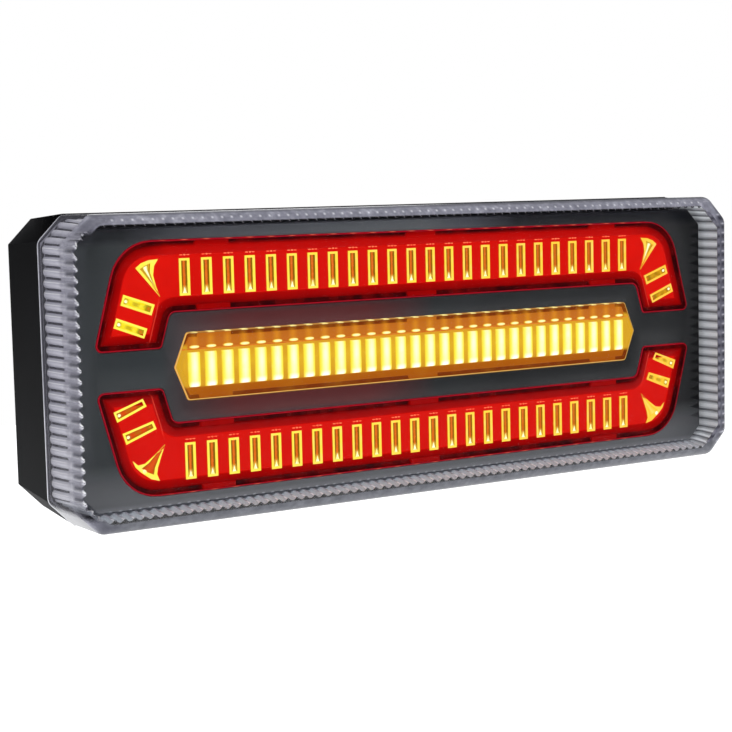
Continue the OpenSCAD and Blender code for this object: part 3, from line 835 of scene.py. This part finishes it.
# ---------------------------------------------------------------- clear cover, fluted inside
def side_points(p, q, cnt, crest, depth, steps):
    """Points from p towards q (q left out) along one side: a flat crest, then a hollow flute, repeated cnt times."""
    L = vlen(vsub(q, p))
    w = L / cnt
    d = vunit(vsub(q, p))
    nrm = (d[1], -d[0])  # outwards, for a loop that runs anticlockwise
    out = []
    for i in range(cnt):
        s0 = i * w
        c = crest / 2
        # crest first half, flute, crest second half
        out.append((s0, 0.0, 0.0))
        out.append((s0 + c, 0.0, 0.0))
        for j in range(1, steps):
            t = j / steps
            out.append((s0 + c + (w - 2 * c) * t, depth * math.sin(math.pi * t) ** 0.75, t))
        out.append((s0 + w - c, 0.0, 1.0))
    pts = [(p[0] + d[0] * s + nrm[0] * h, p[1] + d[1] * s + nrm[1] * h) for s, h, t in out]
    return pts, [o[2] for o in out], cnt


def fluted(hw, hh, c, depth, steps=6, crest=0.62):
    cor = octa(hw, hh, c)
    ref = octa(114.9, 40.2, 5.4)
    pts, av, mats = [], [], []
    per = steps + 2
    for i in range(8):
        p, q = cor[i], cor[(i + 1) % 8]
        cnt = round(vlen(vsub(ref[(i + 1) % 8], ref[i])) / 2.99)
        a, b, cnt = side_points(p, q, cnt, crest, depth, steps)
        pts += a
        av += b
        for j in range(cnt):
            mats += [3] + [2] * steps + [3]
    return pts, av, mats


def cover():
    k = Build()
    n = 5
    R = 4.8
    hw, hh, ch = 118.0, 43.2, 7.3
    outer = [k.loop(octa(hw, hh, ch, 3.2, n), y) for y in (-29.4, -29.95, -38.0, -52.0 + R)]
    steps = 9
    for i in range(1, steps + 1):
        t = math.pi / 2 * i / steps
        s = R * (1 - math.cos(t))
        outer.append(k.loop(octa(hw - s, hh - s, ch - s * 0.55, 3.2, n), -52.0 + R * (1 - math.sin(t)), 0.0, i / steps))
    for i in range(len(outer) - 1):
        k.skin(outer[i], outer[i + 1], 4 if i == 0 else (1 if i < 3 else 5))
    k.cap(outer[-1], 0)
    lev = [(-29.4, 116.0, 41.3, 6.0, 0.6, 2.2), (-36.0, 115.7, 40.95, 5.8, 0.66, 2.0), (-42.4, 115.3, 40.5, 5.6, 0.72, 1.75), (-46.4, 114.9, 40.2, 5.3, 0.82, 0.9), (-48.4, 114.6, 40.1, 5.2, 0.85, 0.35)]
    inner = []
    mats = None
    for y, w, h, c, d, lift in lev:
        pts, av, mats = fluted(w, h, c, d)
        # the lower wall is thicker: its inner face comes up to the foot of the bezel
        pts = [(p[0], p[1] + lift * max(0.0, min(1.0, (-p[1] - 34.0) / (h - 34.0)))) for p in pts]
        ys = [y if y > -43 else y - 1.1 * p[0] / 114.0 for p in pts]
        inner.append(k.loop(pts, ys, av))
    for i in range(len(inner) - 1):
        k.skin(inner[i], inner[i + 1], mats)
    pts, av, _ = fluted(114.25, 39.6, 5.1, 0.8)
    lace = k.loop(pts, [-48.7 - 1.1 * p[0] / 114.0 for p in pts], av)
    k.skin(inner[-1], lace, 6)
    pts, av, _ = fluted(114.0, 39.4, 5.0, 0.75)
    last = k.loop(pts, -49.85, av)
    k.skin(lace, last, 0)
    k.fill([last], 0)
    k.fill([outer[0], inner[0]], 7)
    ob = k.done("clear_cover", [M_FRONT, M_SKIN, M_FLUTE, M_GAP, M_RIM, M_EDGE, M_LACE, mat_seat()], smooth=38)
    return place(ob, "cover_clear", "outer_lens")


cover()


# ---------------------------------------------------------------- bezel
def bezel():
    k = Build()
    wins = (C_UP, C_LO, HEXA)
    out_f = k.loop(plate(112.75, 38.8, 38.3, 5.0, 4.4), BZ)
    out_1 = k.loop(plate(113.1, 39.15, 38.55, 5.15, 4.5), BZ + 0.35)
    out_b = k.loop(plate(113.1, 39.15, 38.55, 5.15, 4.5), SEAM)
    in_b = k.loop(plate(111.7, 37.9, 37.15, 4.7, 4.0), SEAM)
    in_f = k.loop(plate(111.7, 37.9, 37.15, 4.7, 4.0), BZ + 1.8)
    fr, bk = [], []
    for w in wins:
        a = k.loop(outline(inset(w, -0.3)), BZ)
        b = k.loop(outline(inset(w, -0.08)), BZ + 0.1)
        c = k.loop(outline(w), BZ + 0.35)
        d = k.loop(outline(w), BZ + 1.8)
        k.skin(a, b); k.skin(b, c); k.skin(c, d)
        fr.append(a); bk.append(d)
    k.fill([out_f] + fr)
    k.skin(out_f, out_1); k.skin(out_1, out_b); k.skin(out_b, in_b); k.skin(in_b, in_f)
    k.fill([in_f] + bk)
    return place(k.done("bezel_plate", [M_BEZ]), "bezel_grey", "bezel")


bezel()


# ---------------------------------------------------------------- coloured lenses
def tab_flags(pts, base):
    fl = []
    for p in pts:
        fl.append(any(abs(p[0] - t) < 5.3 for t in TABX) and abs(p[0]) < 80)
    return fl


def rect(cx, cz, w, h, ux=(1, 0), uz=(0, 1)):
    return [(cx + ux[0] * a * w / 2 + uz[0] * b * h / 2, cz + ux[1] * a * w / 2 + uz[1] * b * h / 2) for a, b in ((-1, -1), (1, -1), (1, 1), (-1, 1))]


def grow(poly, g):
    return [q[:2] for q in inset([(p[0], p[1], 0) for p in poly], -g)]


def mirror(poly): return [(-p[0], p[1]) for p in reversed(poly)]


FLOOR = BZ + 1.0


def inset_box(loop):
    return [(v.co.x, v.co.z) for v in loop]


def red_lens(name, node, win, rowz, corner, down):
    k = Build()
    rings = [(0.15, BZ + 1.8, 0.0), (0.15, BZ + 0.12, 0.0), (0.24, BZ + 0.0, 0.2), (0.5, BZ + 0.0, 0.5), (0.62, BZ + 0.2, 0.66), (0.7, BZ + 1.5, 0.9),
             (1.7, BZ + 1.5, 1.6), (1.85, BZ + 0.8, 1.95), (2.1, BZ + 0.6, 2.2), (3.0, BZ + 0.62, 3.0), (4.25, BZ + 0.72, 4.0), (4.5, FLOOR, 4.6)]
    loops = []
    for e, y, a in rings:
        pts = outline(inset(win, e), 7, STOPS)
        fl = tab_flags(pts, win)
        if 0.6 < e < 2.0:
            ys = [BZ + 0.16 if f else y for f in fl]
            av = [2.9 if f else a for f in fl]
        else:
            ys, av = y, a
        loops.append(k.loop(pts, ys, av))
    for i in range(len(loops) - 1):
        k.skin(loops[i], loops[i + 1])
    holes, backs = [], []
    polys = [rect(x, rowz, 3.5, 10.6) for x in SLOT_X]
    for c in corner:
        if len(c) == 4:
            polys += [grow(c, 0.05), mirror(grow(c, 0.05))]
        else:
            polys += [list(c), mirror(c)]
    deep = inset_box(loops[-1])
    polys = [p for p in polys if all(inside(q, deep) for q in p)]
    for p in polys:
        a = k.loop(p, FLOOR, 6.0)
        b = k.loop(p, BZ + 2.9, 6.0)
        k.skin(a, b)
        holes.append(a)
        backs.append(b)
    k.fill([loops[-1]] + holes)
    fo = k.loop(outline(inset(win, -1.45), 7, STOPS), BZ + 1.85, 0.0)
    fb = k.loop(outline(inset(win, -1.45), 7, STOPS), BZ + 2.9, 0.0)
    k.skin(loops[0], fo)
    k.skin(fo, fb)
    k.fill([fb] + backs)
    return place(k.done(name, [M_RED], smooth=30), "lens_red", node)


red_lens("red_window_upper", "red_lens_upper", C_UP, UP_Z, UP_CORNER, 1)
red_lens("red_window_lower", "red_lens_lower", C_LO, LO_Z, LO_CORNER, -1)


def amber_lens():
    k = Build()
    win = HEXA
    rings = [(0.15, BZ + 1.8, 0.0), (0.15, BZ + 0.12, 0.0), (0.22, BZ, 0.15), (0.42, BZ, 0.42), (0.52, BZ + 0.15, 0.6), (0.58, BZ + 1.1, 0.8),
             (1.45, BZ + 1.1, 1.5), (1.6, BZ + 0.4, 1.9), (1.9, BZ + 0.35, 2.6)]
    loops = []
    for e, y, a in rings:
        pts = outline(inset(win, e), 4, STOPS)
        ys, av = [], []
        for p in pts:
            f = (any(abs(p[0] - t) < 5.3 for t in TABX) and abs(p[0]) < 79) or abs(p[1]) < 9.0 - e * 0.9
            mid = 0.5 < e < 1.7
            ys.append(BZ + 0.4 if (mid and f) else y)
            av.append(2.6 if (mid and f) else a)
        loops.append(k.loop(pts, ys, av))
    for i in range(len(loops) - 1):
        k.skin(loops[i], loops[i + 1])
    # the floor between the margins, with a small step down to the lit columns
    holes, backs = [], []
    for x in COL_X:
        p = rect(x, -1.05, 4.1, 9.8)
        a = k.loop(p, BZ + 0.45, 6.0)
        b = k.loop(p, BZ + 2.9, 6.0)
        k.skin(a, b)
        holes.append(a)
        backs.append(b)
    lastpts = outline(inset(win, 2.2), 4, STOPS)
    last = k.loop(lastpts, BZ + 0.45, 6.0)
    k.skin(loops[-1], last)
    k.fill([last] + holes)
    fo = k.loop(outline(inset(win, -1.45), 4, STOPS), BZ + 1.85, 0.0)
    fb = k.loop(outline(inset(win, -1.45), 4, STOPS), BZ + 2.9, 0.0)
    k.skin(loops[0], fo)
    k.skin(fo, fb)
    k.fill([fb] + backs)
    return place(k.done("amber_window", [M_AMB], smooth=30), "lens_amber", "amber_lens")


amber_lens()


# ---------------------------------------------------------------- light guides
def slot_block(k, poly, top, frame_w, depth, back, line, floor_mat=1, hole=None):
    """One lit slot: a raised frame round a sunk pocket. poly runs anticlockwise; line is the pocket's middle line, from its lamp end."""
    hole = hole or grow(poly, -frame_w)
    o_b = k.loop(poly, back)
    o_t = k.loop(poly, top + 0.1)
    o_c = k.loop(toward(poly, hole, 0.1), top)
    i_c = k.loop(hole, top)
    k.skin(o_b, o_t, 6)
    k.skin(o_t, o_c, 0)
    k.fill([o_c, i_c], 0)
    (ax, az), (bx, bz) = line
    L = math.hypot(bx - ax, bz - az)
    dx, dz = (bx - ax) / L, (bz - az) / L

    def along(p):
        return max(0, min(1, ((p[0] - ax) * dx + (p[1] - az) * dz) / L))
    prev = i_c
    for s, u, d in ((0.0, 1.0, depth), (0.45, 0.55, depth + 0.03), (0.93, 0.05, depth + 0.04)):
        pts, vs = [], []
        for p in hole:
            v = along(p)
            q = (ax + dx * L * v, az + dz * L * v)
            pts.append((p[0] + (q[0] - p[0]) * s, p[1] + (q[1] - p[1]) * s))
            vs.append(v)
        l = k.loop(pts, top + d, u, vs)
        k.skin(prev, l, 0 if s == 0 else floor_mat)
        prev = l
    k.cap(prev, floor_mat)
    return o_b


def toward(poly, hole, d):
    """Each corner of poly moved by d towards the middle of hole."""
    cx = sum(p[0] for p in hole) / len(hole)
    cz = sum(p[1] for p in hole) / len(hole)
    out = []
    for p in poly:
        l = math.hypot(cx - p[0], cz - p[1])
        out.append((p[0] + (cx - p[0]) * d / l, p[1] + (cz - p[1]) * d / l))
    return out


def spot(k, x, z, y, r, h, mat=2, stretch=1.0, up=(0, 1), n=10):
    """A small lamp image: a low dome, drawn out along up."""
    rings = 3
    prev = None
    px = (up[1], -up[0])
    base = []
    for j in range(rings):
        t = math.pi / 2 * j / rings
        rr = r * math.cos(t)
        pts = []
        for i in range(n):
            a = 2 * math.pi * i / n
            cu, cv = rr * math.cos(a), rr * math.sin(a)
            cv = cv * (stretch if cv > 0 else 1.0)
            pts.append((x + px[0] * cu + up[0] * cv, z + px[1] * cu + up[1] * cv))
        l = k.loop(pts, y - h * math.sin(t))
        if prev:
            k.skin(prev, l, mat)
        else:
            base = l
        prev = l
    k.cap(prev, mat)
    k.cap(base, mat)


def flame(k, x, z, y, w, h):
    """The white-hot lamp image at the foot of a slot: a low three-sided peak."""
    base = [(x - w / 2, z), (x + w / 2, z), (x + w * 0.2, z + h * 0.45), (x, z + h), (x - w * 0.2, z + h * 0.45)]
    a = k.loop(base, y + 0.06)
    b = k.loop(base, y - 0.05)
    c = k.loop(toward(base, base, 0.16), y - 0.14)
    k.cap(a, 2)
    k.skin(a, b, 2)
    k.skin(b, c, 2)
    k.cap(c, 2)


def pill(k, x, z, y, w, h, t, mat, n=8):
    """A flat bead with round ends and a bevelled top."""
    def ring(s):
        pts = []
        for i in range(2 * n):
            a = 2 * math.pi * i / (2 * n)
            pts.append((x + (w / 2 - s) * math.copysign(abs(math.cos(a)) ** 0.8, math.cos(a)), z + (h / 2 - s * 0.5) * math.sin(a)))
        return pts
    a, b, c = k.loop(ring(0.0), y + 0.15, 1.0), k.loop(ring(0.0), y - t * 0.4, 1.0), k.loop(ring(min(w, h) * 0.3), y - t, 0.4)
    m = k.loop([(x, z)], y - t - 0.02, 0.0)[0]
    k.skin(a, b, mat); k.skin(b, c, mat); k.cap(a, mat)
    for i in range(len(c)):
        k.bm.faces.new((c[i], c[(i + 1) % len(c)], m)).material_index = mat


def guide(name, node, win, rowz, corner, down):
    k = Build()
    top = BZ + 0.55
    back = -39.2
    tops = []
    for x in SLOT_X:
        p = rect(x, rowz, 3.3, 10.4)
        slot_block(k, p, top, 0.66, 0.36, back, ((x, rowz - 4.5), (x, rowz + 4.5)))
        flame(k, x + 0.05, rowz - 4.5, top + 0.36, 1.2, 1.75)
        # painted reflections: three small glowing beads over each slot stand for its reflection on the rim above
        z = rowz + 6.15
        pill(k, x - 0.95, z, BZ + 0.6, 0.95, 0.3, 0.12, 3)
        pill(k, x + 0.15, z + 0.02, BZ + 0.6, 0.6, 0.44, 0.16, 3)
        pill(k, x + 1.2, z, BZ + 0.6, 0.85, 0.28, 0.12, 3)
    for ci, c in enumerate(corner):
        for s in (1, -1):
            p = grow(c, 0.0) if s == 1 else mirror(c)
            cx = sum(q[0] for q in p) / len(p)
            cz = sum(q[1] for q in p) / len(p)
            if ci == 0:
                h = UP_POCKET if down > 0 else LO_POCKET
                h = list(h) if s == 1 else mirror(h)
                if down > 0:
                    mid = ((s * 91.7, 28.2), (s * 88.5, 21.9))
                else:
                    mid = ((s * 92.9, -28.3), (s * 88.9, -23.2))
                slot_block(k, p, top, 0.6, 0.34, back, mid, 5, h)
                if down < 0:
                    spot(k, s * 94.0, -28.35, top + 0.06, 0.6, 0.2, 2, 1.3, (s * 0.7, 0.7))
            else:
                # long axis of the cross bar, its outer end first
                a, b = (c[0], c[3]), (c[1], c[2])
                if ci and down < 0:
                    a, b = (c[1], c[2]), (c[0], c[3])
                oe = (s * (a[0][0] + a[1][0]) / 2, (a[0][1] + a[1][1]) / 2)
                ie = (s * (b[0][0] + b[1][0]) / 2, (b[0][1] + b[1][1]) / 2)
                slot_block(k, p, top, 0.6, 0.34, back, (oe, ie), 4)
                dx, dz = vunit(vsub(ie, oe))
                spot(k, oe[0] + dx * 1.3, oe[1] + dz * 1.3, top + 0.33, 0.46, 0.24, 2, 1.15, (dx, dz))
    # the plate behind the lens that joins them all
    o0, o1 = k.loop(outline(inset(win, 2.0), 6), -39.2), k.loop(outline(inset(win, 2.0), 6), -37.6)
    k.skin(o0, o1, 0)
    k.cap(o0, 0)
    k.cap(o1, 0)
    return place(k.done(name, [M_FRAME, M_POCK, M_SPOT, M_DASH, M_BAR, M_WEDGE, M_SIDE], smooth=30), "guide_red", node)


guide("guide_upper", "light_guide_upper", C_UP, UP_Z, UP_CORNER, 1)
guide("guide_lower", "light_guide_lower", C_LO, LO_Z, LO_CORNER, -1)


def guide_amber():
    k = Build()
    zc, h, w = -1.05, 9.7, 4.0
    n = 10
    for x in COL_X:
        rows = []
        lev = [(0.0, 0.25), (0.03, 0.75), (0.07, 0.97), (0.12, 1.0), (0.5, 1.0), (0.88, 1.0), (0.94, 0.97), (0.98, 0.75), (1.0, 0.3)]
        for v, s in lev:
            pts, ys, us = [], [], []
            row = []
            for i in range(n + 1):
                u = -1 + 2 * i / n
                y = BZ + 0.62 - 0.62 * s * math.sqrt(max(0.0, 1 - u * u * 0.98))
                vv = k.loop([(x + u * w / 2 * (0.9 + 0.1 * s), zc - h / 2 + v * h)], y, [u], [v])[0]
                row.append(vv)
            rows.append(row)
        for a, b in zip(rows, rows[1:]):
            for i in range(n):
                k.bm.faces.new((a[i], a[i + 1], b[i + 1], b[i])).material_index = 0
        # sides and back
        ring = rows[0] + [r[-1] for r in rows[1:-1]] + rows[-1][::-1] + [r[0] for r in rows[-2:0:-1]]
        back = [k.bm.verts.new((v.co.x, -39.2, v.co.z)) for v in ring]
        k.skin(ring, back, 1)
        k.cap(back, 1)
        # painted reflection: a glowing bead over the column
        pill(k, x + 0.1, 5.35, BZ + 0.3, 3.2, 0.95, 0.3, 4, 8)
    o0, o1 = k.loop(outline(inset(HEXA, 1.2), 4), -39.2), k.loop(outline(inset(HEXA, 1.2), 4), -37.6)
    k.skin(o0, o1, 1)
    k.cap(o0, 1)
    k.cap(o1, 1)
    # thin lit lip along the top of the columns
    a = k.loop(rect(0, 4.7, 163.0, 0.3), BZ + 0.5)
    b = k.loop(rect(0, 4.7, 162.8, 0.14), BZ + 0.36)
    k.skin(a, b, 3); k.cap(b, 3); k.cap(a, 3)
    return place(k.done("guide_amber_bar", [M_COL, M_FRAME, M_SPOT, mat_lip(), M_BEAD], smooth=40), "guide_amber", "light_guide_amber")


def mat_lip():
    k = Mat("guide_lip", rough=0.3, spec=0.2)
    c = k.ramp(k.noise(300.0, 1.0), [(0.3, lin("#c84c14")), (0.6, lin("#e0761e"))])
    k.glow(c, 0.9)
    k.base(k.mix(0.8, c, (0, 0, 0, 1)))
    return k.m


guide_amber()


# ---------------------------------------------------------------- stage, light and camera
def stage():
    me = bpy.data.meshes.new("floor")
    bm = bmesh.new()
    pts = [(-3, 3), (-3, -3), (3, -3), (3, 3)]
    vs = [bm.verts.new((x, y, -0.42)) for x, y in pts]
    bm.faces.new(vs)
    bm.to_mesh(me)
    bm.free()
    ob = bpy.data.objects.new("floor", me)
    bpy.context.scene.collection.objects.link(ob)
    k = Mat("floor_pale", rough=0.9, spec=0.1)
    c = k.ramp(k.noise(3.0, 2.0), [(0.3, (0.93, 0.93, 0.93, 1)), (0.7, (0.96, 0.96, 0.96, 1))])
    k.base(c)
    k.glow(c, 0.78)
    me.materials.append(k.m)


stage()

w = bpy.data.worlds.new("studio")
bpy.context.scene.world = w
w.use_nodes = True
wt = w.node_tree
bg = wt.nodes["Background"]
bg.inputs["Color"].default_value = (1.0, 1.0, 1.0, 1.0)
bg.inputs["Strength"].default_value = 1.0
# a white room to look at, a dimmer studio for lighting: bright overhead, dark in front of the lamp
dim = wt.nodes.new("ShaderNodeBackground")
coord = wt.nodes.new("ShaderNodeTexCoord")
sep = wt.nodes.new("ShaderNodeSeparateXYZ")
grad = wt.nodes.new("ShaderNodeValToRGB")
el = grad.color_ramp.elements
el[0].position, el[0].color = 0.0, (0.14, 0.14, 0.15, 1)
el[1].position, el[1].color = 0.9, (0.95, 0.95, 0.97, 1)
e = el.new(0.35)
e.color = (0.3, 0.3, 0.32, 1)
wt.links.new(coord.outputs["Generated"], sep.inputs[0])
wt.links.new(sep.outputs[2], grad.inputs[0])
wt.links.new(grad.outputs[0], dim.inputs["Color"])
dim.inputs["Strength"].default_value = 1.0
path = wt.nodes.new("ShaderNodeLightPath")
both = wt.nodes.new("ShaderNodeMixShader")
wt.links.new(path.outputs["Is Camera Ray"], both.inputs[0])
wt.links.new(dim.outputs[0], both.inputs[1])
wt.links.new(bg.outputs[0], both.inputs[2])
wt.links.new(both.outputs[0], wt.nodes["World Output"].inputs["Surface"])


def area(name, loc, target, size, power, sizey=None):
    li = bpy.data.lights.new(name, "AREA")
    li.shape = "RECTANGLE"
    li.size = size
    li.size_y = sizey or size
    li.energy = power
    ob = bpy.data.objects.new(name, li)
    bpy.context.scene.collection.objects.link(ob)
    ob.location = loc
    d = Vector(target) - Vector(loc)
    ob.rotation_euler = d.to_track_quat("-Z", "Y").to_euler()
    return ob


area("key_top", (-0.15, -0.5, 0.9), (0, -0.03, 0), 0.7, 2.5, 0.4)
area("fill_left", (-1.0, -0.4, 0.15), (0, -0.03, 0), 0.6, 1.2)
area("fill_back", (0.5, 1.1, 0.55), (0, 0.0, 0), 0.6, 2.0)

cam_data = bpy.data.cameras.new("camera")
cam = bpy.data.objects.new("camera", cam_data)
bpy.context.scene.collection.objects.link(cam)
cam_data.sensor_fit = "HORIZONTAL"
cam_data.sensor_width = 36.0
cam_data.lens = 1753.6042 / 732.0 * 36.0
cam_data.clip_start = 0.01
right = Vector((0.8420115707, -0.5389548912, -0.0233268091))
down = Vector((-0.0724472986, -0.0701237296, -0.9949040413))
fwd = Vector((0.5345726365, 0.8394106789, -0.0980908176))
rot = Matrix((right, -down, -fwd)).transposed().to_4x4()
cam.matrix_world = Matrix.Translation(Vector((-0.29994053, -0.42826626 - 0.052, 0.04705164))) @ rot
bpy.context.scene.camera = cam

bpy.context.scene.view_settings.view_transform = "Standard"
